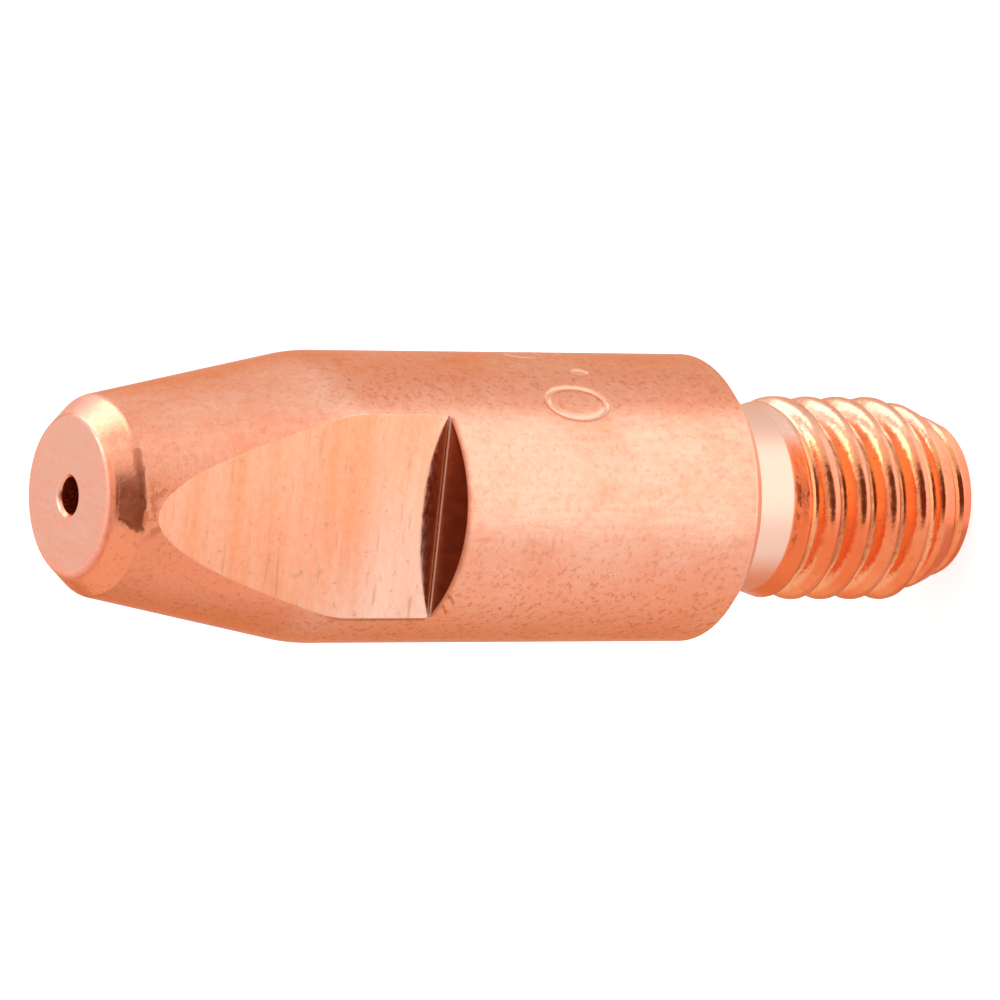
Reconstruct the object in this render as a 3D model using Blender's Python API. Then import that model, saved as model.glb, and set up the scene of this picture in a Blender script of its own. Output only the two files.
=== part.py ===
"""A welding contact tip, turned from one bar of copper.

The tip stands on its threaded end: z is its axis, z = 0 is the end face of the stud and the nose
points up. The origin is the middle of that end face. The two spanner flats face -Y and +Y.
All sizes are in metres.
"""

from math import cos, radians, sin, sqrt, tan, tau

import bmesh
import bpy
from mathutils import Matrix

# Body
BODY_DIAMETER = 0.008
BODY_LENGTH = 0.020           # from the shoulder to the nose
REAR_CHAMFER = 0.0004         # on the body's edge at the shoulder

# Nose
NOSE_FACE_DIAMETER = 0.0043
NOSE_CHAMFER_LENGTH = 0.0007  # along the axis
CONE_SMALL_DIAMETER = 0.0055  # where the nose chamfer meets the cone
CONE_LENGTH = 0.0063

# Stud
STUD_LENGTH = 0.008
NECK_DIAMETER = 0.0052
NECK_LENGTH = 0.00175         # plain length under the shoulder
END_FACE_DIAMETER = 0.0043
END_CHAMFER_LENGTH = 0.0017   # long lead that starts the tip in its holder

# Thread, M6 x 1, right-handed
THREAD_NOMINAL_DIAMETER = 0.006
THREAD_CREST_DIAMETER = 0.0057
THREAD_PITCH = 0.001
THREAD_LEAD_LENGTH = 0.0008   # slope from the neck up to the crests
THREAD_RUNOUT_TURNS = 0.9     # the groove gets shallow over this much of its last turn
THREAD_START_ANGLE = radians(105)
FLANK_ANGLE = radians(30)     # half of the groove's angle
ISO_DEPTH = 17 * sqrt(3) / 48  # groove depth under the nominal diameter, in pitches
ISO_ROOT_WIDTH = 1 / 6         # groove width at that depth, in pitches

# Wire bore
BORE_DIAMETER = 0.001
BORE_EDGE = 0.0001            # broken edge at the nose
ENTRY_DIAMETER = 0.0022       # countersink that leads the wire in at the stud's end
ENTRY_ANGLE = radians(30)     # half of the countersink's angle

# Spanner flats
ACROSS_FLATS = 0.0057
FLAT_LENGTH = 0.0102          # from the nose to the middle of the wall where the flats end
CUTTER_RADIUS = 0.020         # face mill that leaves the wall slightly hollow

# Facets
TURN_STEPS = 72
CUTTER_STEPS = 240
GROOVE_STEPS = 40             # in one turn of the thread

COPPER_COLOUR = (0.76, 0.36, 0.22, 1.0)
COPPER_ROUGHNESS = 0.38

# Derived sizes
OVERALL_LENGTH = STUD_LENGTH + BODY_LENGTH
BODY_RADIUS = BODY_DIAMETER / 2
THREAD_TOP = STUD_LENGTH - NECK_LENGTH
CREST_RADIUS = THREAD_CREST_DIAMETER / 2
ROOT_RADIUS = THREAD_NOMINAL_DIAMETER / 2 - ISO_DEPTH * THREAD_PITCH


def clear_scene():
    for scene_object in list(bpy.data.objects):
        bpy.data.objects.remove(scene_object, do_unlink=True)


def copper_material():
    material = bpy.data.materials.new("turned_copper")
    material.use_nodes = True
    shader = material.node_tree.nodes["Principled BSDF"]
    shader.inputs["Base Color"].default_value = COPPER_COLOUR
    shader.inputs["Metallic"].default_value = 1.0
    shader.inputs["Roughness"].default_value = COPPER_ROUGHNESS
    return material


def object_from(bm, name):
    """Put a bmesh with outward normals into a new object of the scene."""
    bmesh.ops.recalc_face_normals(bm, faces=bm.faces)
    mesh = bpy.data.meshes.new(name)
    bm.to_mesh(mesh)
    bm.free()
    piece = bpy.data.objects.new(name, mesh)
    bpy.context.collection.objects.link(piece)
    return piece


def tip_section():
    """The closed half section as (radius, height), down the outside and up the bore."""
    bore_radius = BORE_DIAMETER / 2
    entry_radius = ENTRY_DIAMETER / 2
    entry_depth = (entry_radius - bore_radius) / tan(ENTRY_ANGLE)
    cone_top = OVERALL_LENGTH - NOSE_CHAMFER_LENGTH
    return [
        (bore_radius + BORE_EDGE, OVERALL_LENGTH),
        (NOSE_FACE_DIAMETER / 2, OVERALL_LENGTH),
        (CONE_SMALL_DIAMETER / 2, cone_top),
        (BODY_RADIUS, cone_top - CONE_LENGTH),
        (BODY_RADIUS, STUD_LENGTH + REAR_CHAMFER),
        (BODY_RADIUS - REAR_CHAMFER, STUD_LENGTH),
        (NECK_DIAMETER / 2, STUD_LENGTH),
        (NECK_DIAMETER / 2, THREAD_TOP),
        (CREST_RADIUS, THREAD_TOP - THREAD_LEAD_LENGTH),
        (CREST_RADIUS, END_CHAMFER_LENGTH),
        (END_FACE_DIAMETER / 2, 0.0),
        (entry_radius, 0.0),
        (bore_radius, entry_depth),
        (bore_radius, OVERALL_LENGTH - BORE_EDGE),
    ]


def turned_tip():
    """Turn the half section round the axis, as the bar is turned on a lathe."""
    bm = bmesh.new()
    points = [bm.verts.new((radius, 0.0, height)) for radius, height in tip_section()]
    for point, following in zip(points, points[1:] + points[:1]):
        bm.edges.new((point, following))
    bmesh.ops.spin(
        bm,
        geom=bm.verts[:] + bm.edges[:],
        cent=(0.0, 0.0, 0.0),
        axis=(0.0, 0.0, 1.0),
        angle=tau,
        steps=TURN_STEPS,
        use_merge=True,
    )
    return object_from(bm, "contact_tip")


def flats_cutter():
    """Two discs, one on each side, swept by the face mill that leaves each flat and its wall."""
    disc_depth = BODY_DIAMETER - ACROSS_FLATS / 2
    axis_height = OVERALL_LENGTH - FLAT_LENGTH + CUTTER_RADIUS
    bm = bmesh.new()
    for side in (-1, 1):
        turned = Matrix.Rotation(radians(90), 4, "X")
        middle = Matrix.Translation((0.0, side * (ACROSS_FLATS + disc_depth) / 2, axis_height))
        bmesh.ops.create_cone(
            bm,
            cap_ends=True,
            segments=CUTTER_STEPS,
            radius1=CUTTER_RADIUS,
            radius2=CUTTER_RADIUS,
            depth=disc_depth,
            matrix=middle @ turned,
        )
    return object_from(bm, "flats_cutter")


def thread_cutter():
    """One helical bar of the groove's section, from below the end face to its run-out.

    The section is the ISO V with its narrow flat root. It leaves the stud through the crests, where
    it stays narrower than the pitch so that neighbouring turns of the cutter never meet.
    """
    root_width = ISO_ROOT_WIDTH * THREAD_PITCH
    width_per_depth = 2 * tan(FLANK_ANGLE)
    depth = CREST_RADIUS - ROOT_RADIUS
    crest_width = THREAD_PITCH - root_width - depth * width_per_depth
    overshoot = crest_width / 2 / width_per_depth
    outer_radius = CREST_RADIUS + overshoot
    outer_width = root_width + (depth + overshoot) * width_per_depth

    start_height = -THREAD_PITCH
    turns = (THREAD_TOP - start_height) / THREAD_PITCH
    steps = round(turns * GROOVE_STEPS)
    runout_start = turns - THREAD_RUNOUT_TURNS
    bm = bmesh.new()
    last_ring = None
    for step in range(steps + 1):
        turn = turns * step / steps
        angle = THREAD_START_ANGLE + tau * turn
        height = start_height + THREAD_PITCH * turn
        shallower = max(0.0, (turn - runout_start) / THREAD_RUNOUT_TURNS) * (depth + overshoot / 2)
        ring = []
        for radius, offset in (
            (ROOT_RADIUS, -root_width / 2),
            (outer_radius, -outer_width / 2),
            (outer_radius, outer_width / 2),
            (ROOT_RADIUS, root_width / 2),
        ):
            reach = radius + shallower
            ring.append(bm.verts.new((reach * cos(angle), reach * sin(angle), height + offset)))
        if last_ring is None:
            bm.faces.new(ring)
        else:
            for corner in range(4):
                following = (corner + 1) % 4
                bm.faces.new((last_ring[corner], last_ring[following], ring[following], ring[corner]))
        last_ring = ring
    bm.faces.new(last_ring)
    return object_from(bm, "thread_cutter")


def cut(piece, cutter, name):
    """Take the cutter's shape out of the piece and leave the cutter as a guide."""
    boolean = piece.modifiers.new(name, "BOOLEAN")
    boolean.operation = "DIFFERENCE"
    boolean.object = cutter
    cutter.display_type = "WIRE"
    cutter.hide_render = True


def shade(piece):
    piece.data.shade_smooth()
    piece.data.set_sharp_from_angle(angle=radians(20))


def build():
    clear_scene()
    tip = turned_tip()
    tip.data.materials.append(copper_material())
    shade(tip)
    cut(tip, thread_cutter(), "Thread")
    cut(tip, flats_cutter(), "Flats")


build()
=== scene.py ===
"""The finish of a turned copper welding contact tip, and the stage it is seen on.

The tip stands on its threaded end, with its nose up. Lengths are modelled in millimetres and are
brought to metres when a piece is finished.
"""

from math import acos, atan2, ceil, cos, hypot, pi, radians, remainder, sin, sqrt, tan, tau

import bmesh
import bpy
from bpy.props import FloatProperty, FloatVectorProperty, IntProperty, PointerProperty
from mathutils import Matrix, Vector


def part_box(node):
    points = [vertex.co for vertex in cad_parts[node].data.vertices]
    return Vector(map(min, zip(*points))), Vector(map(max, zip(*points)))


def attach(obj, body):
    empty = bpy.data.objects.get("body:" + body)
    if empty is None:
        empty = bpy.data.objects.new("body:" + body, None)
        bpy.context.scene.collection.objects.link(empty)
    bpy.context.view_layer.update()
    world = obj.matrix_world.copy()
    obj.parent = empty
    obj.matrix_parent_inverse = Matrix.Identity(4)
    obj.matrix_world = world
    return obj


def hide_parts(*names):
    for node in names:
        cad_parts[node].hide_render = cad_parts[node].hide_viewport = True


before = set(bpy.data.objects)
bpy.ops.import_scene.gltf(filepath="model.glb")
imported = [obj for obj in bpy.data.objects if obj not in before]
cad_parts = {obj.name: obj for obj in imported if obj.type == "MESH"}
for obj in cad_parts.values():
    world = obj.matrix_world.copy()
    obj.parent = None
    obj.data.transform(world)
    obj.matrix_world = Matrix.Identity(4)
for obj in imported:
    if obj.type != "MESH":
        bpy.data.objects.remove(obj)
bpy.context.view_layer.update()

bl_info = {
    "name": "Contact Tip",
    "version": (1, 0, 0),
    "blender": (4, 5, 0),
    "location": "3D View > Sidebar > Contact Tip",
    "description": "Models a turned copper welding contact tip and its plain stage",
    "category": "Object",
}

TIP_LOW, TIP_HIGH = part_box("contact_tip")
OVERALL_LENGTH = TIP_HIGH[2] - TIP_LOW[2]
BODY_DIAMETER = TIP_HIGH[0] - TIP_LOW[0]
MILLIMETRES = 1000.0
WELD = 0.001                  # millimetres within which points are one
NEAR = 1e-4                   # millimetres within which a point is on a flat or at a height
ON_PLANE = 1e-5               # the same for a cutting plane
TURNED, MILLED, WALL, STUD = range(4)
WALL_STEPS = 24               # segments along the foot of a flat's wall
STUD_ROWS = 18                # faces along one pitch of the stud
COLUMN_SLACK = 0.01           # of a column's width, within which a point is on the column
BROKEN_SEGMENTS = 2           # across the broken edges of the flats
LARGE_FACE = 1.0              # square millimetres, more than any face but a flat or a wall
STAMP_CUTS = 2                # cuts of each edge under the stamp
ONE_TURN = {"cent": (0.0, 0.0, 0.0), "axis": (0.0, 0.0, 1.0), "angle": tau}


def length(name, default, description):
    return FloatProperty(
        name=name, description=description, default=default, min=0.0, precision=5, unit="LENGTH"
    )


def angle(name, degrees, description):
    return FloatProperty(
        name=name, description=description, default=radians(degrees), subtype="ANGLE"
    )


def colour(name, default, description):
    return FloatVectorProperty(
        name=name,
        description=description,
        default=default,
        size=3,
        min=0.0,
        max=1.0,
        subtype="COLOR",
    )


def share(name, default, description):
    return FloatProperty(name=name, description=description, default=default, min=0.0, max=1.0)


class ContactTipSizes(bpy.types.PropertyGroup):
    """Sizes of the turned tip."""

    overall_length: length("Overall length", OVERALL_LENGTH, "From the stud's end to the nose")
    body_diameter: length("Body diameter", BODY_DIAMETER, "Across the body")
    nose_face_diameter: length("Nose face", 0.0043, "Across the flat face at the nose")
    nose_chamfer_length: length("Nose chamfer", 0.0007, "Along the axis")
    cone_small_diameter: length("Cone small end", 0.0055, "Where the nose chamfer meets the cone")
    cone_length: length("Cone length", 0.0063, "Along the axis")
    rear_chamfer: length("Rear chamfer", 0.0004, "On the body's edge at the shoulder")
    stud_length: length("Stud length", 0.008, "From the end face to the shoulder")
    neck_diameter: length("Neck diameter", 0.0052, "Between the shoulder and the thread")
    neck_length: length("Neck length", 0.00175, "From the shoulder to the thread")
    end_face_diameter: length("End face", 0.0043, "Across the stud's end")
    end_chamfer_length: length("End lead", 0.0017, "Long lead on the first threads")
    thread_diameter: length("Thread nominal", 0.006, "Nominal diameter of the thread")
    crest_diameter: length("Thread crests", 0.0057, "Across the crests of the thread")
    pitch: length("Pitch", 0.001, "From one thread to the next")
    thread_lead_length: length("Thread slope", 0.0008, "From the neck up to the crests")
    thread_start: angle("Thread start", 105.0, "Where the groove starts round the axis")
    runout_turns: FloatProperty(
        name="Run-out", description="Turns over which the groove gets shallow", default=0.9, min=0.0
    )
    bore_diameter: length("Bore", 0.001, "Wire bore")
    bore_edge: length("Bore edge", 0.0001, "Broken edge at the nose")
    entry_diameter: length("Wire entry", 0.0022, "Countersink at the stud's end")
    across_flats: length("Across flats", 0.0057, "From one spanner flat to the other")
    flat_length: length("Flat length", 0.0102, "From the nose to the middle of the flats' wall")
    cutter_radius: length("Cutter radius", 0.020, "Face mill that leaves the wall slightly hollow")
    stamp_depth: length("Stamp depth", 0.00005, "Depth of the stamped numerals")
    turn_steps: IntProperty(name="Facets", description="Facets round the axis", default=240, min=24)


class ContactTipColours(bpy.types.PropertyGroup):
    """Colours of the tip and its stage."""

    copper: colour("Copper", (0.90, 0.34, 0.20), "Turned body")
    # also the painted highlights on the stamp and along the foot of the flats' wall
    pale_copper: colour("Pale copper", (0.96, 0.56, 0.41), "Lighter blotches of the turned body")
    # painted sheen: pale copper for the neck, the slope's upper side and the flats near the wall
    sheen_copper: colour("Fresh copper", (0.97, 0.64, 0.50), "Neck")
    faced_copper: colour("Faced copper", (0.85, 0.47, 0.38), "Nose face")
    flat_copper: colour("Milled copper", (0.85, 0.30, 0.145), "Spanner flats")
    # painted shade colour: deeper copper for the chamfer's front, the nose's rim, the cone and the
    # body's lower side
    shaded_copper: colour("Deep copper", (0.90, 0.26, 0.12), "Nose chamfer and the body's lower side")
    edge_copper: colour("Edge copper", (1.0, 0.58, 0.40), "Copper seen at a low angle")
    pale_edge: colour("Pale edge", (1.0, 0.72, 0.55), "Neck and thread seen at a low angle")
    flank_copper: colour("Flank copper", (0.98, 0.48, 0.23), "Flanks of the thread")
    # painted shade and reflection: deep orange for the thread's lower side, the lower neck and
    # where the thread rises from the neck
    orange_shade_copper: colour(
        "Slope copper", (0.87, 0.175, 0.055), "Where the thread rises from the neck"
    )
    speck_copper: colour("Speck copper", (0.58, 0.15, 0.055), "Small marks")
    fringe_copper: colour("Fringe copper", (0.42, 0.10, 0.035), "Burr along the wall's edge")
    groove_copper: colour("Groove copper", (0.45, 0.22, 0.12), "Cutter marks on the flats")
    rear_edge_copper: colour("Burr copper", (1.0, 0.70, 0.54), "Rough edges")
    # used for the painted dark reflection on the chamfer, painted shade in the bore, and the darker
    # thread roots and dots under the neck
    dark_copper: colour("Dark copper", (0.27, 0.065, 0.027), "Stains and the bore")
    # painted reflection: darker copper for the wall, as it mirrors dark surroundings
    wall_copper: colour("Wall copper", (0.55, 0.20, 0.115), "The wall where the flats end")
    floor: colour("Floor", (0.86, 0.86, 0.86), "Plain floor")
    floor_glow: share("Floor light", 0.75, "How much of the floor's white is its own")


def scene_sizes():
    return bpy.context.scene.contact_tip_sizes


def scene_colours():
    return bpy.context.scene.contact_tip_colours


class Socket:
    """A node socket on which Python's operators make Math nodes."""

    def __init__(self, tree, socket):
        self.tree = tree
        self.socket = socket

    def node(self, kind, settings, inputs, output=0):
        """Add a node, set its settings, then give each input a value or a link."""
        made = self.tree.nodes.new(kind)
        for name, value in settings.items():
            setattr(made, name, value)
        for name, value in inputs.items():
            if isinstance(value, Socket):
                self.tree.links.new(value.socket, made.inputs[name])
            else:
                made.inputs[name].default_value = value
        return Socket(self.tree, made.outputs[output])

    def math(self, operation, first, second=0.0):
        return self.node("ShaderNodeMath", {"operation": operation}, {0: first, 1: second})

    def vector(self, operation, second=(0.0, 0.0, 0.0), output="Vector"):
        """Vector Math on this vector and another."""
        settings = {"operation": operation}
        return self.node("ShaderNodeVectorMath", settings, {0: self, 1: second}, output)

    def __add__(self, other):
        return self.math("ADD", self, other)

    def __sub__(self, other):
        return self.math("SUBTRACT", self, other)

    def __mul__(self, other):
        return self.math("MULTIPLY", self, other)

    def __truediv__(self, other):
        return self.math("DIVIDE", self, other)

    def __rsub__(self, other):
        return self.math("SUBTRACT", other, self)

    __radd__ = __add__
    __rmul__ = __mul__

    def absolute(self):
        return self.math("ABSOLUTE", self)

    def root(self):
        return self.math("SQRT", self)

    def sine(self):
        return self.math("SINE", self)

    def least(self, other):
        return self.math("MINIMUM", self, other)

    def most(self, other):
        return self.math("MAXIMUM", self, other)

    def rise(self, low, high):
        """0 under low, 1 over high, with a smooth step between; low over high turns it round."""
        if low > high:
            return 1 - self.rise(high, low)
        return self.node(
            "ShaderNodeMapRange",
            {"interpolation_type": "SMOOTHSTEP"},
            {"Value": self, "From Min": low, "From Max": high},
        )

    def blend(self, first, second):
        """The first colour where this mask is 0 and the second where it is 1."""
        sockets = {0: self}
        for index, value in ((6, first), (7, second)):
            sockets[index] = value if isinstance(value, Socket) else (*value, 1.0)
        return self.node("ShaderNodeMix", {"data_type": "RGBA"}, sockets, output=2)


class Finish:
    """A new material, its place sockets in millimetres and its shader."""

    def __init__(self, name):
        self.material = bpy.data.materials.new(name)
        self.material.use_nodes = True
        self.tree = self.material.node_tree
        self.shader = self.tree.nodes["Principled BSDF"]
        start = Socket(self.tree, None)
        place = start.node("ShaderNodeTexCoord", {}, {}, output="Object")
        self.place = place.vector("MULTIPLY", (MILLIMETRES,) * 3)
        split = self.tree.nodes.new("ShaderNodeSeparateXYZ")
        self.tree.links.new(self.place.socket, split.inputs[0])
        self.x, self.y, self.z = (Socket(self.tree, axis) for axis in split.outputs)

    def noise(self, scale, detail, stretch=(1.0, 1.0, 1.0), roughness=0.5):
        """Noise from 0 to 1, finer along the axes that are stretched more."""
        return self.place.node(
            "ShaderNodeTexNoise",
            {},
            {
                "Vector": self.place.vector("MULTIPLY", stretch),
                "Scale": scale,
                "Detail": detail,
                "Roughness": roughness,
            },
        )

    def along(self, turn):
        """How far a place lies from the axis in a level direction, turned from -Y towards +X."""
        return self.x * sin(turn) - self.y * cos(turn)

    def across(self):
        """How far a place lies from the axis towards the picture's top."""
        return self.along(DARK_REFLECTION_ANGLE + pi / 2)

    def front_side(self):
        """1 on the side that has the painted dark reflection, and 0 behind it."""
        return self.along(DARK_REFLECTION_ANGLE).rise(0.5, 1.0)

    def radius(self):
        """Distance from the tip's axis."""
        return (self.x * self.x + self.y * self.y).root()

    def in_bore(self, form):
        """1 in the wire bore, and 0 outside it."""
        return self.radius().rise(form.bore_radius + 0.04, form.bore_radius + 0.01)

    def attribute(self, name):
        """A number that the mesh holds at each point."""
        return self.place.node("ShaderNodeAttribute", {"attribute_name": name}, {}, output="Fac")

    def feed(self, name, value):
        if isinstance(value, Socket):
            self.tree.links.new(value.socket, self.shader.inputs[name])
        else:
            self.shader.inputs[name].default_value = value

    def metal(self, copper, roughness, edge=None, bare=1.0):
        """Metal of a colour and roughness, its colour at a low angle, and how bare it is."""
        self.feed("Base Color", copper)
        self.feed("Roughness", roughness)
        self.feed("Metallic", bare)
        self.feed("Specular Tint", (*(edge or scene_colours().edge_copper), 1.0))

    def bump(self, height, distance, strength):
        """Let a height from 0 to 1, times a distance in millimetres, tilt the surface."""
        relief = height.node(
            "ShaderNodeBump",
            {},
            {"Height": height, "Distance": distance / MILLIMETRES, "Strength": strength},
        )
        self.feed("Normal", relief)


# Where marks lie, in millimetres, and how rough and how deep each finish is
# Where the painted dark reflection on the chamfer lies
DARK_REFLECTION_ANGLE = radians(11)               # from -Y towards +X
REFLECTION_START, REFLECTION_END = 0.24, 0.82     # down from the nose face
REFLECTION_LOW, REFLECTION_TOP = -0.42, 1.15      # across the tip, towards the picture's top
SMUDGE_ACROSS, SMUDGE_DOWN = -0.4, 1.2
TURNED_ROUGHNESS, TURNED_RELIEF = 0.21, 0.007
STUD_ROUGHNESS, STUD_RELIEF = 0.12, 0.009
MILLED_ROUGHNESS, MILLED_RELIEF = 0.07, 0.0025
WALL_ROUGHNESS = 0.17


def copper_ground(finish):
    """Mottled copper between its two colours, and the three patterns that mix it."""
    colours = scene_colours()
    blotches = finish.noise(0.45, detail=3.0).rise(0.3, 0.7)
    grain = finish.noise(1.0, detail=3.0, stretch=(6.0, 6.0, 0.8)).rise(0.3, 0.75)
    fine = finish.noise(4.0, detail=5.0, roughness=0.6).rise(0.28, 0.72)
    mix = blotches * 0.45 + grain * 0.2 + fine * 0.35
    return mix.blend(colours.copper, colours.pale_copper), blotches, grain, fine


def specks(finish, size, amount):
    """Small dark marks; a smaller amount leaves fewer."""
    marks = finish.noise(size, detail=4.0, roughness=0.65)
    return marks.rise(0.68 - amount, 0.76 - amount)


def chamfer_dark_reflection(finish, form):
    """A painted dark reflection on the nose's chamfer and on the edge of the cone, round one side.
    """
    across = finish.across()
    down = form.overall_length - finish.z
    wobble = (finish.noise(3.5, detail=5.0) - 0.5) * 0.6
    ragged = down + wobble * 0.4
    start = across.rise(0.25, 0.65) * 0.34 + REFLECTION_START
    dark_reflection = (ragged - start).rise(-0.03, 0.03) * ragged.rise(REFLECTION_END + 0.04, REFLECTION_END - 0.04)
    dark_reflection *= (across + down * 0.67 + wobble).rise(REFLECTION_LOW - 0.13, REFLECTION_LOW)
    dark_reflection *= (across + wobble).rise(REFLECTION_TOP + 0.15, REFLECTION_TOP)
    faded_top = 1 - across.rise(0.2, 1.0) * 0.45
    return dark_reflection * finish.front_side() * faded_top


def smudge_place(finish, form):
    """A soft round place on the cone beside the painted dark reflection."""
    across = finish.across() - SMUDGE_ACROSS
    down = form.overall_length - finish.z - SMUDGE_DOWN
    return (across * across + down * down).rise(0.9, 0.2) * finish.front_side()


def wall_distance(finish, form):
    """How far a place lies above the hollow wall where the flats end."""
    return finish.z - finish.x * finish.x / (form.cutter_radius * 2) - form.wall_foot


def cutter_burr(finish, form):
    """Dark burr along the wall's edge and one side of the flat, and nicks where the two meet."""
    across = finish.across()
    reach = finish.y.absolute()
    below = wall_distance(finish, form) * -1
    ragged = finish.noise(3.0, detail=3.0)
    fringe = (below + ragged * 0.14).rise(0.30, 0.04) * below.rise(-0.05, -0.02)
    fringe *= reach.rise(form.flat_reach - 0.02, form.flat_reach + 0.1) * 0.85
    lip = reach.rise(form.flat_reach - 0.13, form.flat_reach - 0.05) * below.rise(0.0, -0.1)
    lip *= across.rise(-2.0, -2.5) * (finish.z + ragged * 2.0).rise(22.6, 21.6) * 0.6
    stripes = (across * 22.0 + below * 16.0 + ragged * 3.0).sine().rise(0.35, 0.8)
    slant = across + below * 0.8
    nicks = stripes * slant.rise(-2.95, -2.8) * slant.rise(-2.35, -2.5)
    nicks *= below.rise(0.02, 0.1) * below.rise(0.55, 0.4) * finish.front_side()
    return fringe.most(lip).most(nicks * 0.6)


def shade_share(finish, form, grain, fine):
    """Painted shade: where turned copper is given a deeper colour, on its lower side, the cone, and
    a band near the top.
    """
    across = finish.across()
    cone = finish.z.rise(form.cone_foot - 0.5, form.cone_foot + 1.5)
    lower = across.rise(-0.6, -3.4) * (0.45 + fine * 0.2)
    band = across.rise(2.1, 2.7) * across.rise(3.9, 3.2) * (0.2 + grain * 0.2)
    warm_shade = lower.most(cone * (across.rise(3.2, -2.4) * 0.6 + 0.2)).most(band * (1 - cone))
    return warm_shade, cone


def turned_copper(form):
    """The body, the cone, the nose and the bore."""
    colours = scene_colours()
    finish = Finish("turned_copper")
    copper, blotches, grain, fine = copper_ground(finish)
    across = finish.across()
    warm_shade, cone = shade_share(finish, form, grain, fine)
    # painted shade: deeper copper on the lower side, the cone and a band near the top
    copper = warm_shade.blend(copper, colours.shaded_copper)

    nose = finish.z.rise(form.overall_length - 0.10, form.overall_length - 0.04)
    chamfer = finish.z.rise(form.cone_top - 0.1, form.cone_top + 0.05) * (1 - nose)
    scratches = finish.noise(1.3, detail=4.0, stretch=(5.0, 0.6, 1.0)).rise(0.35, 0.7)
    copper = (nose * (0.65 + scratches * 0.3)).blend(copper, colours.faced_copper)
    # painted shade: deeper copper on the chamfer's front and lower side
    near = chamfer * across.rise(1.5, 0.3) * (0.12 + fine * 0.3)
    copper = near.blend(copper, colours.shaded_copper)
    # painted light: pale, rougher copper on the chamfer's upper back side
    far = chamfer * across.rise(0.8, 1.6) * finish.along(DARK_REFLECTION_ANGLE).rise(1.0, 0.4)
    copper = far.blend(copper, colours.faced_copper)
    # painted shade: deeper, rougher copper on the nose's rim, which keeps a highlight off it
    rim = finish.radius().rise(form.nose_face_radius - 0.16, form.nose_face_radius - 0.08)
    rim *= finish.z.rise(form.overall_length - 0.2, form.overall_length - 0.12)
    rim *= across.rise(1.6, 0.8)
    copper = (rim * 0.25).blend(copper, colours.shaded_copper)

    smudge = specks(finish, 3.5, 0.19) * smudge_place(finish, form)
    marks = specks(finish, 6.0, 0.13).most(specks(finish, 3.2, 0.11) * 0.7)
    marks *= (1 - nose * 0.7) * (0.3 + warm_shade) * (1 - cone * 0.5)
    copper = (marks * 0.75).most(smudge * 0.65).blend(copper, colours.speck_copper)
    copper = cutter_burr(finish, form).blend(copper, colours.fringe_copper)
    # paler, rougher copper along the rear edge
    rear = finish.z.rise(form.rear_top + 0.05, form.rear_top)
    copper = (rear * 0.7).blend(copper, colours.rear_edge_copper)
    # painted reflection: a dark patch on the chamfer, for the dark room that it mirrors
    dark_reflection = chamfer_dark_reflection(finish, form)
    copper = (dark_reflection * (0.72 + fine * 0.25)).blend(copper, colours.dark_copper)
    copper = finish.in_bore(form).blend(copper, colours.copper)
    # painted highlight: the stamped numerals are given pale copper
    stamp = finish.attribute("stamp").rise(0.1, 0.6)
    copper = (stamp * 0.75).blend(copper, colours.pale_copper)

    rough = fine * 0.08 + blotches * 0.03 + rear * 0.2 + dark_reflection * 0.3 + rim * 0.35
    finish.metal(copper, rough + TURNED_ROUGHNESS + far * 0.2)
    relief = (fine * 0.6 + grain * 0.4 - marks * 0.4) * (1 - chamfer * 0.6)
    finish.bump(relief, TURNED_RELIEF, strength=0.7)
    return finish.material


def front_dark_dots(finish, form):
    """Dark dots round the front of the stud, just under the neck."""
    across = finish.across()
    ring = finish.z.rise(form.thread_top - 0.22, form.thread_top - 0.15)
    ring *= finish.z.rise(form.thread_top - 0.04, form.thread_top - 0.09)
    ring *= specks(finish, 5.0, 0.2)
    return ring * across.rise(1.2, 0.4) * across.rise(-1.8, -1.0)


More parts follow.
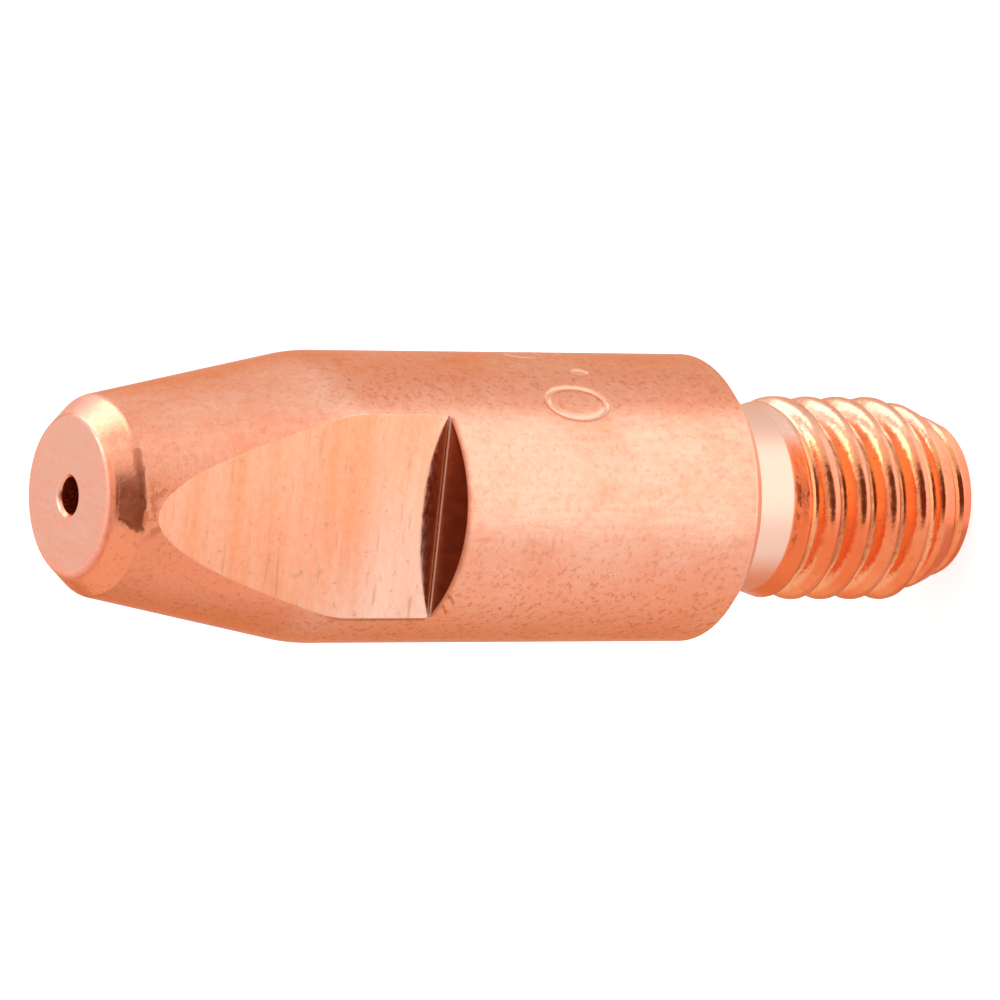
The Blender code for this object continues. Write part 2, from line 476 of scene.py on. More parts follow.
def stud_copper(form):
    """The rear edge, the neck and the thread; a painted sheen makes them brighter than the body,
    and they are orange in the grooves.
    """
    colours = scene_colours()
    finish = Finish("stud_copper")
    copper, blotches, grain, fine = copper_ground(finish)
    across = finish.across()
    groove = finish.attribute("groove")
    thread = finish.z.rise(form.thread_top + 0.05, form.thread_top - 0.05)
    slope = thread * finish.z.rise(form.slope_foot - 0.05, form.slope_foot + 0.05)
    slope *= groove.rise(0.12, 0.02)

    # painted sheen: pale copper on the neck, and a little on the thread
    copper = (1 - thread * 0.85).blend(copper, colours.sheen_copper)
    flank = groove.rise(0.01, 0.10) * thread * across.rise(2.2, 1.2)
    copper = (flank * 0.95).blend(copper, colours.flank_copper)
    # painted shade: deeper orange on the thread's lower side
    lower = across.rise(2.4, 0.8) * 0.6 + across.rise(0.6, -1.6) * 0.4
    lower *= thread * (groove.rise(0.6, 0.3) * 0.5 + 0.5)
    copper = (lower * (0.7 + blotches * 0.3)).blend(copper, colours.orange_shade_copper)
    # painted sheen on the upper side of the slope
    copper = (slope * across.rise(1.2, 2.0) * 0.8).blend(copper, colours.sheen_copper)
    # painted reflection: deep orange on the slope's lower side, where it mirrors the neck
    lower_slope = slope * across.rise(1.9, 1.1) * (0.8 + fine * 0.2)
    copper = lower_slope.blend(copper, colours.orange_shade_copper)
    copper = (slope * front_dark_dots(finish, form) * 0.65).blend(copper, colours.dark_copper)
    # painted shade: deeper orange on the neck's lower side
    lower_neck = (1 - thread) * across.rise(-1.4, -2.3)
    copper = (lower_neck * 0.7).blend(copper, colours.orange_shade_copper)
    copper = (groove.rise(0.88, 1.0) * (0.4 + fine * 0.4)).blend(copper, colours.dark_copper)
    marks = specks(finish, 5.0, 0.10) * thread * (1 - slope)
    copper = (marks * 0.4).blend(copper, colours.speck_copper)
    # painted shade: darker in the wire bore
    copper = (finish.in_bore(form) * 0.3).blend(copper, colours.dark_copper)

    neck = (1 - thread) * finish.radius().rise(form.neck_radius + 0.3, form.neck_radius + 0.1)
    worn = finish.noise(2.2, detail=4.0).rise(0.35, 0.7)
    rough = fine * 0.06 + worn * thread * 0.12 + neck * 0.22
    finish.metal(copper, rough + STUD_ROUGHNESS, colours.pale_edge)
    relief = (fine * 0.6 + grain * 0.4) * 0.2 + (fine * 0.4 + worn * 0.9) * thread
    finish.bump(relief, STUD_RELIEF, strength=0.7)
    return finish.material


def milled_copper(form):
    """The spanner flats, with the cutter's faint marks across them."""
    colours = scene_colours()
    finish = Finish("milled_copper")
    streaks = finish.noise(1.0, detail=4.0, stretch=(0.15, 0.15, 2.0)).rise(0.3, 0.7)
    lines = finish.noise(1.0, detail=3.0, stretch=(0.8, 0.8, 7.0)).rise(0.60, 0.70)
    fine = finish.noise(8.0, detail=5.0, stretch=(0.6, 0.6, 1.0), roughness=0.65)
    fine = fine.rise(0.32, 0.68)
    # painted sheen: the flats get paler towards the wall
    towards_wall = (finish.x * 0.55 + finish.z * 0.85).rise(18.0, 14.8)
    pale = (streaks * 0.2 + fine * 0.15 + towards_wall * 0.52).least(1.0)
    copper = pale.blend(colours.flat_copper, colours.sheen_copper)
    marks = specks(finish, 3.5, 0.09)
    copper = (marks * 0.45).most(lines * 0.38).blend(copper, colours.groove_copper)
    # painted highlight: a pale, rough, less metallic line along the wall's foot
    corner = wall_distance(finish, form).rise(0.06, 0.045)
    copper = corner.blend(copper, colours.pale_copper)
    rough = fine * 0.07 + streaks * 0.03 + corner * 0.5
    finish.metal(copper, rough + MILLED_ROUGHNESS, bare=1 - corner * 0.8)
    finish.bump(streaks * 0.5 + fine * 0.3 - lines * 0.2, MILLED_RELIEF, strength=0.35)
    return finish.material


def cutter_wall(form):
    """The wall where the flats end, painted darker than the rest as a dark reflection."""
    colours = scene_colours()
    finish = Finish("cutter_wall")
    marks = finish.noise(1.5, detail=3.0, stretch=(3.0, 1.0, 1.0))
    copper = (marks.rise(0.4, 0.8) * 0.2).blend(colours.wall_copper, colours.copper)
    # painted highlight: the same pale line along the wall's foot
    corner = finish.y.absolute().rise(form.flat_reach + 0.12, form.flat_reach + 0.08)
    copper = corner.blend(copper, colours.pale_copper)
    rough = marks * 0.12 + corner * 0.4
    finish.metal(copper, rough + WALL_ROUGHNESS, bare=1 - corner * 0.8)
    return finish.material


def rounded(corners, guard):
    """An outline with each corner that has a radius turned into an arc, held by near points.

    A corner is (radius from the axis, height, corner radius, steps). A point is added a guard's
    length outside each end of every arc, so that smooth shading stays next to the arc.
    """
    outline = []
    for index, (reach, height, corner_radius, steps) in enumerate(corners):
        here = Vector((reach, height))
        if corner_radius == 0.0 or index in (0, len(corners) - 1):
            outline.append(here)
            continue
        before = (Vector(corners[index - 1][:2]) - here).normalized()
        after = (Vector(corners[index + 1][:2]) - here).normalized()
        half = acos(max(-1.0, min(1.0, before.dot(after)))) / 2
        run = corner_radius / tan(half)
        middle = here + (before + after).normalized() * corner_radius / sin(half)
        start = here + before * run - middle
        finish = here + after * run - middle
        sweep = start.angle_signed(finish)
        outline.append(here + before * (run + guard))
        for step in range(steps + 1):
            turn = Matrix.Rotation(-sweep * step / steps, 2)
            outline.append(middle + turn @ start)
        outline.append(here + after * (run + guard))
    return outline


def spin_round(bm, geometry, steps):
    """A full turn of an outline, closed where it meets itself."""
    bmesh.ops.spin(bm, geom=geometry, steps=steps, use_merge=True, **ONE_TURN)
    bmesh.ops.remove_doubles(bm, verts=bm.verts, dist=WELD)


def add_chain(bm, points):
    """Edges through (radius, height) points in the plane y = 0."""
    verts = [bm.verts.new((point[0], 0.0, point[1])) for point in points]
    edges = [bm.edges.new(pair) for pair in zip(verts, verts[1:])]
    return verts + edges


class TipForm:
    """The tip's sizes in millimetres, and what follows from them."""

    ENTRY_ANGLE = radians(30)      # half of the countersink's angle
    ENTRY_ROUND = 0.04             # radius on the countersink's edge at the end face
    ENTRY_FOOT_ROUND = 0.1         # where it meets the bore
    MOUTH_ROUND = 0.02             # on both sides of the bore's broken edge
    NOSE_ROUND = 0.15
    CHAMFER_ROUND = 0.4            # where the nose chamfer meets the cone
    CONE_ROUND = 5.0               # where the cone meets the body
    REAR_ROUND = 0.12
    SHOULDER_ROUND = 0.08
    NECK_FILLET = 0.12
    GUARD = 0.05                   # narrow faces beside each rounding, which keep its shading
    EDGE_BREAK = 0.035             # on the edges of the flats
    JOIN_SHARE = 0.4               # how far up the neck the stud is joined to the body
    REAR_MARGIN = 0.02             # how far over the shoulder the stud's finish reaches
    FLANK_ANGLE = radians(30)
    ISO_DEPTH = 17 * sqrt(3) / 48  # under the nominal diameter, in pitches
    ROOT_WIDTH = 1 / 7             # in pitches
    ROOT_ROUND = 0.04
    ROOT_WEAR = 0.05               # how much deeper than the standard the roots are
    CREST_ROUND = 0.28             # on the side of a crest that faces the nose
    BACK_ROUND = 0.04              # on its other side
    RUNOUT_RISE = 1.15             # rise of the groove over its run-out, in groove depths
    LEAD_DEEPER = 0.32             # how much deeper again the groove is at the stud's end
    LEAD_REACH = 1.0               # height up to which it is deeper
    LEAD_START = 3.0               # how fast that sets in from the end face, per millimetre
    ROW = 0.10                     # height of the rows under the stamp

    def __init__(self, sizes):
        for name in sizes.bl_rna.properties.keys():
            value = getattr(sizes, name)
            if isinstance(value, float) and name not in ("thread_start", "runout_turns"):
                setattr(self, name, value * MILLIMETRES)
                if name.endswith("_diameter"):
                    radius = value * MILLIMETRES / 2
                    setattr(self, name.replace("_diameter", "_radius"), radius)
        self.thread_start = sizes.thread_start
        self.runout_turns = sizes.runout_turns
        self.turn_steps = sizes.turn_steps
        self.cone_top = self.overall_length - self.nose_chamfer_length
        self.cone_foot = self.cone_top - self.cone_length
        self.rear_top = self.stud_length + self.rear_chamfer
        self.wall_foot = self.overall_length - self.flat_length
        self.flat_reach = self.across_flats / 2
        half_chord = sqrt(self.body_radius**2 - self.flat_reach**2)
        self.wall_height = self.wall_foot + self.hollow(half_chord)
        self.thread_top = self.stud_length - self.neck_length
        self.join_height = self.thread_top + self.neck_length * self.JOIN_SHARE
        self.slope_foot = self.thread_top - self.thread_lead_length
        iso_root_radius = self.thread_radius - self.ISO_DEPTH * self.pitch
        self.root_radius = iso_root_radius - self.ROOT_WEAR
        self.root_width = self.pitch * self.ROOT_WIDTH
        self.rear_height = self.stud_length + self.REAR_MARGIN

    def hollow(self, x):
        """How much higher than its middle the flats' wall is at x."""
        return self.cutter_radius - sqrt(self.cutter_radius**2 - x * x)


class Stamp:
    """The wire size, stamped round the body as upright numerals."""

    HEIGHT = 2.0
    WIDTH = 1.25
    STROKE = 0.16
    FIRST_ANGLE = radians(51.5)   # from -Y towards +X
    BASE = 12.72                  # height of the numerals' feet over the stud's end
    POINT_PLACE = 1.3             # from the first numeral's middle, round the body
    POINT_HEIGHT = 0.3            # over the numerals' feet
    POINT_RINGS = ((0.04, 0.12), (0.09, 0.20))
    LAST_PLACE = 2.85
    BOWL_SHAPE = 1.05             # height of the last numeral's bowl over its width
    TAIL_TURN = pi * 0.72         # how far round its tail goes
    ARC_STEPS = 96
    DENT_REACH = 0.7              # half width of the dent, in strokes
    MARGIN = 0.3                  # finer faces round the numerals
    ROWS_MARGIN = 0.4
    BODY_SHARE = 0.95             # of the body's radius, outside which a point is on its skin

    def __init__(self, body_radius):
        self.body_radius = body_radius
        self.points = []
        half_width = (self.WIDTH - self.STROKE) / 2
        half_height = (self.HEIGHT - self.STROKE) / 2
        bowl = half_width * self.BOWL_SHAPE
        bowl_height = self.HEIGHT - self.STROKE / 2 - bowl
        tail = bowl_height - self.STROKE / 2
        self.add_arc(0.0, self.HEIGHT / 2, half_width, half_height)
        for ring in self.POINT_RINGS:
            self.add_arc(self.POINT_PLACE, self.POINT_HEIGHT, *ring)
        self.add_arc(self.LAST_PLACE, bowl_height, half_width, bowl)
        self.add_arc(self.LAST_PLACE, bowl_height, half_width, tail, -self.TAIL_TURN, 0.0)

    def add_arc(self, across, up, half_width, half_height, start=0.0, end=tau):
        """Even points along an ellipse, or along a part of it."""
        for step in range(self.ARC_STEPS + 1):
            turn = start + (end - start) * step / self.ARC_STEPS
            self.points.append((across + half_width * cos(turn), up + half_height * sin(turn)))

    def place(self, point):
        """How far round the body, and how far up, a point is from the first numeral's foot."""
        return (atan2(point.x, -point.y) - self.FIRST_ANGLE) * self.body_radius, point.z - self.BASE

    def depth(self, point):
        """How deep the stamp is at a point of the body, from 0 to 1."""
        across, up = self.place(point)
        nearest = min(hypot(across - px, up - py) for px, py in self.points)
        return max(0.0, 1.0 - (nearest / (self.STROKE * self.DENT_REACH)) ** 2)

    def covers(self, point):
        """Whether a point is on the body's skin, in or near the numerals."""
        across, up = self.place(point)
        side = self.WIDTH / 2 + self.MARGIN
        in_width = -side < across < self.LAST_PLACE + side
        in_height = -self.MARGIN < up < self.HEIGHT + self.MARGIN
        on_skin = hypot(point.x, point.y) > self.body_radius * self.BODY_SHARE
        return in_width and in_height and on_skin


def body_outline(form):
    """From the end face, up the bore, round the nose and down the body to the neck."""
    entry_depth = (form.entry_radius - form.bore_radius) / tan(form.ENTRY_ANGLE)
    mouth_foot = form.overall_length - form.bore_edge
    mouth_radius = form.bore_radius + form.bore_edge
    rear_radius = form.body_radius - form.rear_chamfer
    corners = [
        (form.end_face_radius, 0.0, 0.0, 0),
        (form.entry_radius, 0.0, form.ENTRY_ROUND, 3),
        (form.bore_radius, entry_depth, form.ENTRY_FOOT_ROUND, 3),
        (form.bore_radius, mouth_foot, form.MOUTH_ROUND, 2),
        (mouth_radius, form.overall_length, form.MOUTH_ROUND, 2),
        (form.nose_face_radius, form.overall_length, form.NOSE_ROUND, 6),
        (form.cone_small_radius, form.cone_top, form.CHAMFER_ROUND, 6),
        (form.body_radius, form.cone_foot, form.CONE_ROUND, 8),
        (form.body_radius, form.rear_top, form.REAR_ROUND, 4),
        (rear_radius, form.stud_length, form.SHOULDER_ROUND, 4),
        (form.neck_radius, form.stud_length, form.NECK_FILLET, 4),
        (form.neck_radius, form.join_height, 0.0, 0),
    ]
    return rounded(corners, form.GUARD)


def with_rows(outline, low, high, row):
    """Add even rows to the outline's straight run down the body between two heights."""
    rows = []
    for point, following in zip(outline, outline[1:] + outline[-1:]):
        rows.append(point)
        if point.y >= high and following.y <= low:
            count = round((high - low) / row)
            drop = (high - low) / count
            rows.extend(Vector((point.x, high - drop * step)) for step in range(count + 1))
    return rows


def with_height(outline, height):
    """Add one point to the outer run that crosses a height going down."""
    rows = []
    for point, following in zip(outline, outline[1:] + outline[-1:]):
        rows.append(point)
        if point.y > height > following.y:
            rows.append(point.lerp(following, (point.y - height) / (point.y - following.y)))
    return rows


def cut_away(bm, form, side):
    """Remove what lies outside one spanner flat, above its wall."""
    upper = [face for face in bm.faces if face.calc_center_median().z > form.wall_height]
    geometry = dict.fromkeys(upper)
    for face in upper:
        geometry.update(dict.fromkeys([*face.edges, *face.verts]))
    bmesh.ops.bisect_plane(
        bm,
        geom=list(geometry),
        plane_co=(0.0, side * form.flat_reach, 0.0),
        plane_no=(0.0, side, 0.0),
        dist=ON_PLANE,
    )
    outside = [
        face
        for face in bm.faces
        if face.calc_center_median().z > form.wall_height
        and face.calc_center_median().y * side > form.flat_reach + NEAR
    ]
    bmesh.ops.delete(bm, geom=outside, context="FACES")


def opening_edges(bm, form, side):
    """The open edges that a cut leaves: the wall's round edge, and the flat's outline."""
    arc, outline = [], []
    for edge in bm.edges:
        outside = all(vert.co.y * side > form.flat_reach - WELD for vert in edge.verts)
        upper = all(vert.co.z > form.wall_height - WELD for vert in edge.verts)
        if edge.is_boundary and outside and upper:
            level = all(abs(vert.co.z - form.wall_height) < NEAR for vert in edge.verts)
            (arc if level else outline).append(edge)
    return arc, outline


def foot_edges(bm, form, side, arc):
    """Even edges between the ends of the wall's round edge, where the flat meets the wall."""
    ends = [
        vert
        for edge in arc
        for vert in edge.verts
        if abs(vert.co.y * side - form.flat_reach) < WELD
    ]
    first = min(ends, key=lambda vert: vert.co.x)
    last = max(ends, key=lambda vert: vert.co.x)
    foot = [first]
    for step in range(1, WALL_STEPS):
        foot.append(bm.verts.new(first.co.lerp(last.co, step / WALL_STEPS)))
    foot.append(last)
    return [bm.edges.new(pair) for pair in zip(foot, foot[1:])]


def cut_flats(bm, form):
    """Cut both spanner flats above the wall, and close each with its flat and its wall."""
    edges_to_break = []
    for side in (-1, 1):
        cut_away(bm, form, side)
        arc, outline = opening_edges(bm, form, side)
        foot = foot_edges(bm, form, side, arc)
        walls = bmesh.ops.contextual_create(bm, geom=arc + foot)["faces"]
        flats = bmesh.ops.contextual_create(bm, geom=outline + foot)["faces"]
        if len(flats) != 1 or len(walls) != 1:
            raise RuntimeError("a spanner flat did not close")
        flats[0].material_index = MILLED
        walls[0].material_index = WALL
        for vert in walls[0].verts:
            vert.co.z = form.wall_foot + form.hollow(vert.co.x)
        edges_to_break += arc + outline + foot
    return edges_to_break


def break_edges(bm, edges, width):
    """Bevel the edges of the flats and walls, and add narrow faces inside each."""
    bmesh.ops.bevel(
        bm,
        geom=edges,
        offset=width,
        offset_type="OFFSET",
        segments=BROKEN_SEGMENTS,
        profile=0.5,
        affect="EDGES",
        material=-1,
        clamp_overlap=True,
    )
    cut_faces = [
        face
        for face in bm.faces
        if face.material_index != TURNED and face.calc_area() > LARGE_FACE
    ]
    for face in cut_faces:
        bmesh.ops.inset_region(bm, faces=[face], thickness=width, use_even_offset=True)


def set_radius(vert, radius):
    """Move a vertex straight out from the axis, or in, to a radius."""
    scale = radius / hypot(vert.co.x, vert.co.y)
    vert.co.x *= scale
    vert.co.y *= scale


def press_stamp(bm, form, stamp):
    """Make the faces under the stamp finer, and press its numerals into them."""
    stamped = [face for face in bm.faces if stamp.covers(face.calc_center_median())]
    bmesh.ops.subdivide_edges(
        bm,
        edges=list(dict.fromkeys(edge for face in stamped for edge in face.edges)),
        cuts=STAMP_CUTS,
        use_grid_fill=True,
    )
    depth = bm.verts.layers.float.new("stamp")
    for vert in bm.verts:
        if stamp.covers(vert.co):
            vert[depth] = stamp.depth(vert.co)
            set_radius(vert, form.body_radius - form.stamp_depth * vert[depth])


def groove_middle(form, x, y, z):
    """Height of the nearest groove's middle, straight up or down the stud from a place."""
    phase = ((atan2(y, x) - form.thread_start) / tau) % 1.0 * form.pitch
    return phase + form.pitch * round((z - phase) / form.pitch)


def smooth_least(first, second, width):
    """The lower of two heights, with a round of the given width where they cross."""
    step = max(width - abs(first - second), 0.0) / width
    return min(first, second) - step * step * width / 4


def groove_radius(form, z, middle):
    """Radius of one groove's surface at a height; the groove gets shallow at its run-out."""
    depth = form.crest_radius - form.root_radius
    runout = form.runout_turns * form.pitch
    run = max(0.0, (middle - form.thread_top) / runout + 1.0)
    shallower = run * depth * form.RUNOUT_RISE
    lead = max(0.0, form.LEAD_REACH - middle) * min(1.0, max(0.0, z) * form.LEAD_START)
    deeper = lead * form.LEAD_DEEPER
    climb = max(0.0, abs(z - middle) - form.root_width / 2) / tan(form.FLANK_ANGLE)
    return form.root_radius + shallower - deeper + hypot(climb, form.ROOT_ROUND) - form.ROOT_ROUND


def stud_surface(form, x, y, z):
    """Radius of the threaded stud at a place, and how deep in the groove it lies, from 0 to 1."""
    crest = form.crest_radius
    if z > form.slope_foot:
        rise = max(0.0, (form.thread_top - z) / form.thread_lead_length)
        envelope = form.neck_radius + (crest - form.neck_radius) * rise
    else:
        lead = min(1.0, z / form.end_chamfer_length)
        envelope = form.end_face_radius + (crest - form.end_face_radius) * lead
    middle = groove_middle(form, x, y, z)
    below, above = (middle, middle + form.pitch) if z > middle else (middle - form.pitch, middle)
    soft = min(1.0, max(0.001, z))
    radius = smooth_least(envelope, groove_radius(form, z, below), form.BACK_ROUND * soft)
    radius = smooth_least(radius, groove_radius(form, z, above), form.CREST_ROUND * soft)
    return radius, min(1.0, max(0.0, (envelope - radius) / (crest - form.root_radius)))


def make_stud(bm, form):
    """The threaded stud: one turn of a helical strip, repeated, and shaped by the groove."""
    heights = [form.pitch * (row / STUD_ROWS - 1) for row in range(STUD_ROWS + 1)]
    strip = add_chain(bm, [(form.crest_radius, height) for height in heights])
    rise = (0.0, 0.0, form.pitch / form.turn_steps)
    bmesh.ops.spin(bm, geom=strip, dvec=rise, steps=form.turn_steps, **ONE_TURN)
    one_turn = bm.verts[:] + bm.edges[:] + bm.faces[:]
    for turn in range(-1, ceil(form.join_height / form.pitch)):
        copied = bmesh.ops.duplicate(bm, geom=one_turn)["geom"]
        copied_verts = [part for part in copied if isinstance(part, bmesh.types.BMVert)]
        bmesh.ops.translate(bm, vec=(0.0, 0.0, (turn + 1) * form.pitch), verts=copied_verts)
    bmesh.ops.delete(bm, geom=one_turn, context="VERTS")
    bmesh.ops.remove_doubles(bm, verts=bm.verts, dist=WELD)
    column = tau / form.turn_steps
    for height, side in ((0.0, -1), (form.join_height, 1)):
        bmesh.ops.bisect_plane(
            bm,
            geom=bm.verts[:] + bm.edges[:] + bm.faces[:],
            plane_co=(0.0, 0.0, height),
            plane_no=(0.0, 0.0, side),
            dist=ON_PLANE,
            clear_outer=True,
        )
        between_columns = [
            vert
            for vert in bm.verts
            if abs(vert.co.z - height) < WELD
            and abs(remainder(atan2(vert.co.y, vert.co.x), column)) > column * COLUMN_SLACK
        ]
        bmesh.ops.dissolve_verts(bm, verts=between_columns)
    depth = bm.verts.layers.float.new("groove")
    for vert in bm.verts:
        radius, vert[depth] = stud_surface(form, *vert.co)
        set_radius(vert, radius)


def join_stud(bm, form):
    """Model the stud, and weld it to the open ends of the body at the neck and the end face."""
    stud = bmesh.new()
    make_stud(stud, form)
    stud_mesh = bpy.data.meshes.new("stud")
    stud.to_mesh(stud_mesh)
    stud.free()
    bm.from_mesh(stud_mesh)
    bpy.data.meshes.remove(stud_mesh)
    open_verts = [vert for vert in bm.verts if vert.is_boundary]
    bmesh.ops.remove_doubles(bm, verts=open_verts, dist=WELD)


def make_tip(form):
    """The whole tip as one closed mesh, in millimetres."""
    bm = bmesh.new()
    stamp = Stamp(form.body_radius)
    low = stamp.BASE - stamp.ROWS_MARGIN
    high = stamp.BASE + stamp.HEIGHT + stamp.ROWS_MARGIN
    outline = with_rows(body_outline(form), low, high, form.ROW)
    for height in (form.wall_height, form.wall_foot - form.EDGE_BREAK * 2):
        outline = with_height(outline, height)
    spin_round(bm, add_chain(bm, outline), form.turn_steps)
    break_edges(bm, cut_flats(bm, form), form.EDGE_BREAK)
    press_stamp(bm, form, stamp)
    join_stud(bm, form)
    bmesh.ops.recalc_face_normals(bm, faces=bm.faces)
    open_edges = [edge for edge in bm.edges if not edge.is_manifold]
    if open_edges:
        raise RuntimeError(f"the tip has {len(open_edges)} open edges")
    for face in bm.faces:
        face.smooth = True
        if face.material_index == TURNED and face.calc_center_median().z < form.rear_height:
            face.material_index = STUD
    return bm


def finished(bm, name, materials):
    """Bring a closed mesh to metres and put it in the scene."""
    bmesh.ops.scale(bm, vec=(1 / MILLIMETRES,) * 3, verts=bm.verts)
    mesh = bpy.data.meshes.new(name)
    bm.to_mesh(mesh)
    bm.free()
    for material in materials:
        mesh.materials.append(material)
    piece = bpy.data.objects.new(name, mesh)
    bpy.context.scene.collection.objects.link(piece)
    return piece


class CONTACT_TIP_OT_tip(bpy.types.Operator):
    """Model the tip with its thread, flats and stamp, and give it its copper"""

    bl_idname = "contact_tip.tip"
    bl_label = "Contact Tip"
    bl_options = {"REGISTER", "UNDO"}

    def execute(self, context):
        form = TipForm(scene_sizes())
        materials = [turned_copper(form), milled_copper(form), cutter_wall(form), stud_copper(form)]
        piece = finished(make_tip(form), "contact_tip_turned", materials)
        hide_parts("contact_tip")
        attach(piece, "root")
        return {"FINISHED"}


CAMERA_AZIMUTH = radians(11.1)      # from -Y towards +X
CAMERA_ELEVATION = radians(32.1)
CAMERA_DISTANCE = 0.298
CAMERA_TARGET_HEIGHT = 0.01428
CAMERA_SIDE_SHIFT = -0.000085       # along the picture's upright
CAMERA_ROLL = radians(0.17)
PIXELS_PER_METRE = 36290.0          # at the target
PICTURE_WIDTH = 1000
SENSOR_WIDTH = 36.0                 # millimetres, Blender's own unit for a lens
CAMERA_CLIP = (0.01, 10.0)


def picture_axes():
    """The picture's right, upright and backward directions, with the nose at its left."""
    side = Vector((sin(CAMERA_AZIMUTH), -cos(CAMERA_AZIMUTH), 0.0))
    upright = Vector((cos(CAMERA_AZIMUTH), sin(CAMERA_AZIMUTH), 0.0))
    back = side * cos(CAMERA_ELEVATION) + Vector((0.0, 0.0, sin(CAMERA_ELEVATION)))
    right = upright.cross(back)
    return (
        right * cos(CAMERA_ROLL) + upright * sin(CAMERA_ROLL),
        upright * cos(CAMERA_ROLL) - right * sin(CAMERA_ROLL),
        back,
    )


def place_in_scene(data, place, turn):
    """Put a camera or a light at a place, turned by a matrix."""
    holder = bpy.data.objects.new(data.name, data)
    holder.matrix_world = Matrix.Translation(place) @ turn.to_4x4()
    bpy.context.scene.collection.objects.link(holder)
    return holder


DARK_ROOM = (0.16, 0.065, 0.04)     # what the tip mirrors where the camera stands
DARK_REACH = radians(34)
DARK_EDGE = radians(10)
ROOM_LIGHT = 0.45                   # strength of the surround where it isn't seen

FLOOR_HALF_WIDTH = 1500.0           # millimetres
FLOOR_ROUGHNESS = 0.9
WIDE_TURN, WIDE_GLOW = -15, 0.38    # wide part of the floor's glow, in gloss
WIDE_SHARE = (-0.5, 0.6)
NEAR_TURN, NEAR_GLOW = 21, 0.5      # narrower part of it, near the tip
NEAR_SHARE = (0.67, 0.81)
NEAR_REACH = (120.0, 60.0)          # millimetres from the tip
LEAST_GLOW = 0.12

SOFTBOXES = (
    # name, degrees round the tip, how far out, how high, distance, width, height, watts
    ("top_softbox", 100, 0.42, 1.0, 0.35, 0.24, 0.24, 0.5),
    ("side_softbox", 107, 1.0, 0.38, 0.30, 0.30, 0.14, 0.22),
)


def level_towards(degrees):
    """A level direction from the tip, turned from the camera's side towards the picture's top."""
    turn = CAMERA_AZIMUTH + radians(degrees)
    return Vector((sin(turn), -cos(turn), 0.0))


def add_camera():
    right, upright, back = picture_axes()
    target = Vector((0.0, 0.0, CAMERA_TARGET_HEIGHT)) + upright * CAMERA_SIDE_SHIFT
    camera = bpy.data.cameras.new("camera")
    camera.sensor_width = SENSOR_WIDTH
    camera.lens = CAMERA_DISTANCE * PIXELS_PER_METRE / PICTURE_WIDTH * SENSOR_WIDTH
    camera.clip_start, camera.clip_end = CAMERA_CLIP
    turn = Matrix((right, upright, back)).transposed()
    place = target + back * CAMERA_DISTANCE
    bpy.context.scene.camera = place_in_scene(camera, place, turn)


def add_softbox(name, direction, distance, width, height, watts):
    """An area light that faces the tip's middle."""
    light = bpy.data.lights.new(name, "AREA")
    light.shape = "RECTANGLE"
    light.size = width
    light.size_y = height
    light.energy = watts
    towards = direction.normalized()
    place = Vector((0.0, 0.0, CAMERA_TARGET_HEIGHT)) + towards * distance
    place_in_scene(light, place, (-towards).to_track_quat("-Z", "Y").to_matrix())


def ray_kind(tree, name):
    return Socket(tree, None).node("ShaderNodeLightPath", {}, {}, output=name)


def seen_white(tree):
    """1 for the rays that show the background: the camera's, and those in gloss and glass."""
    camera, glossy, clear = (
        ray_kind(tree, name) for name in ("Is Camera Ray", "Is Glossy Ray", "Is Transmission Ray")
    )
    return camera.most(glossy).most(clear)


def share_towards(vector, direction):
    """Cosine of the level angle between a place or ray and a level direction."""
    level = vector.vector("MULTIPLY", (1.0, 1.0, 0.0)).vector("NORMALIZE")
    return level.vector("DOT_PRODUCT", direction, output="Value")


def plain_world():
    """White all round, with a soft dark zone low at the front, where the camera stands."""
    world = bpy.data.worlds.new("studio")
    world.use_nodes = True
    tree = world.node_tree
    background = tree.nodes["Background"]
    ray = Socket(tree, None).node("ShaderNodeTexCoord", {}, {}, output="Generated")
    towards_camera = ray.vector("DOT_PRODUCT", picture_axes()[2], output="Value")
    zone = towards_camera.rise(cos(DARK_REACH), cos(DARK_REACH - DARK_EDGE))
    zone *= 1 - ray_kind(tree, "Is Camera Ray")
    shade = zone.blend((1.0, 1.0, 1.0), DARK_ROOM)
    tree.links.new(shade.socket, background.inputs["Color"])
    white = seen_white(tree)
    level = white + (1 - white) * ROOM_LIGHT
    tree.links.new(level.socket, background.inputs["Strength"])
    bpy.context.scene.world = world


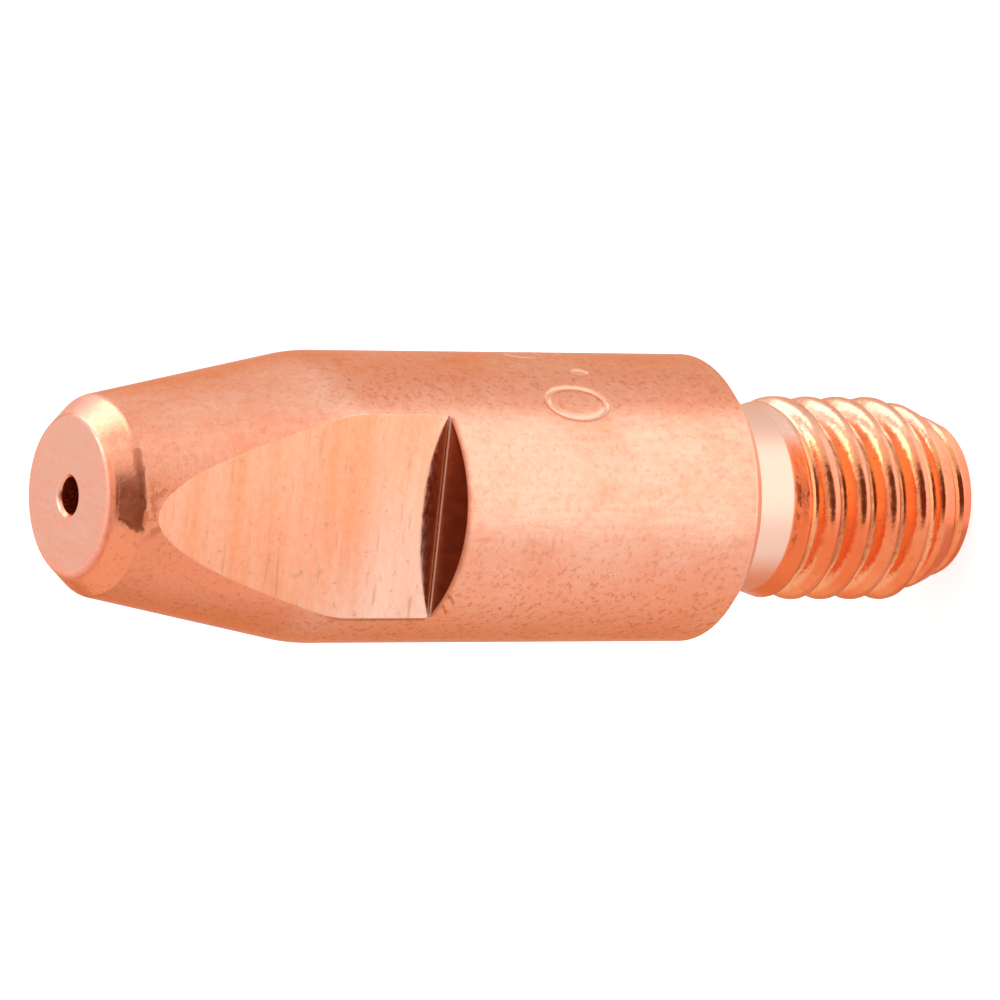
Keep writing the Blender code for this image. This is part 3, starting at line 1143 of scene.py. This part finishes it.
def floor_material():
    """Pale floor with some white of its own, which gloss shows brighter in front than behind."""
    colours = scene_colours()
    finish = Finish("floor")
    finish.feed("Base Color", (*colours.floor, 1.0))
    finish.feed("Roughness", FLOOR_ROUGHNESS)
    finish.feed("Emission Strength", colours.floor_glow)
    wide = share_towards(finish.place, level_towards(WIDE_TURN)).rise(*WIDE_SHARE)
    near = share_towards(finish.place, level_towards(NEAR_TURN)).rise(*NEAR_SHARE)
    near *= finish.place.vector("LENGTH", output="Value").rise(*NEAR_REACH)
    lit = wide * WIDE_GLOW + near * NEAR_GLOW + LEAST_GLOW
    level = ray_kind(finish.tree, "Is Camera Ray").most(lit) * seen_white(finish.tree)
    finish.feed("Emission Color", level.blend((0.0, 0.0, 0.0), (1.0, 1.0, 1.0)))
    return finish.material


class CONTACT_TIP_OT_stage(bpy.types.Operator):
    """Set up the floor, the soft lights, the white surround and the camera"""

    bl_idname = "contact_tip.stage"
    bl_label = "Stage"
    bl_options = {"REGISTER", "UNDO"}

    def execute(self, context):
        bm = bmesh.new()
        bmesh.ops.create_grid(bm, x_segments=1, y_segments=1, size=FLOOR_HALF_WIDTH)
        floor = finished(bm, "floor", [floor_material()])
        plain_world()
        for name, degrees, out, high, *sizes in SOFTBOXES:
            direction = level_towards(degrees) * out + Vector((0.0, 0.0, high))
            add_softbox(name, direction, *sizes)
        add_camera()
        context.scene.view_settings.view_transform = "Standard"
        return {"FINISHED"}


class CONTACT_TIP_PT_panel(bpy.types.Panel):
    """Contact tip"""

    bl_idname = "CONTACT_TIP_PT_panel"
    bl_label = "Contact Tip"
    bl_space_type = "VIEW_3D"
    bl_region_type = "UI"
    bl_category = "Contact Tip"

    def draw(self, context):
        layout = self.layout
        layout.operator(CONTACT_TIP_OT_tip.bl_idname)
        layout.operator(CONTACT_TIP_OT_stage.bl_idname)
        for group in (context.scene.contact_tip_sizes, context.scene.contact_tip_colours):
            for name in group.bl_rna.properties.keys():
                if name not in ("rna_type", "name"):
                    layout.prop(group, name)


CLASSES = (
    ContactTipSizes,
    ContactTipColours,
    CONTACT_TIP_OT_tip,
    CONTACT_TIP_OT_stage,
    CONTACT_TIP_PT_panel,
)


def register():
    for listed in CLASSES:
        bpy.utils.register_class(listed)
    bpy.types.Scene.contact_tip_sizes = PointerProperty(type=ContactTipSizes)
    bpy.types.Scene.contact_tip_colours = PointerProperty(type=ContactTipColours)


def unregister():
    del bpy.types.Scene.contact_tip_colours
    del bpy.types.Scene.contact_tip_sizes
    for listed in reversed(CLASSES):
        bpy.utils.unregister_class(listed)


def main():
    register()
    bpy.ops.contact_tip.tip()
    bpy.ops.contact_tip.stage()


if __name__ == "__main__":
    main()
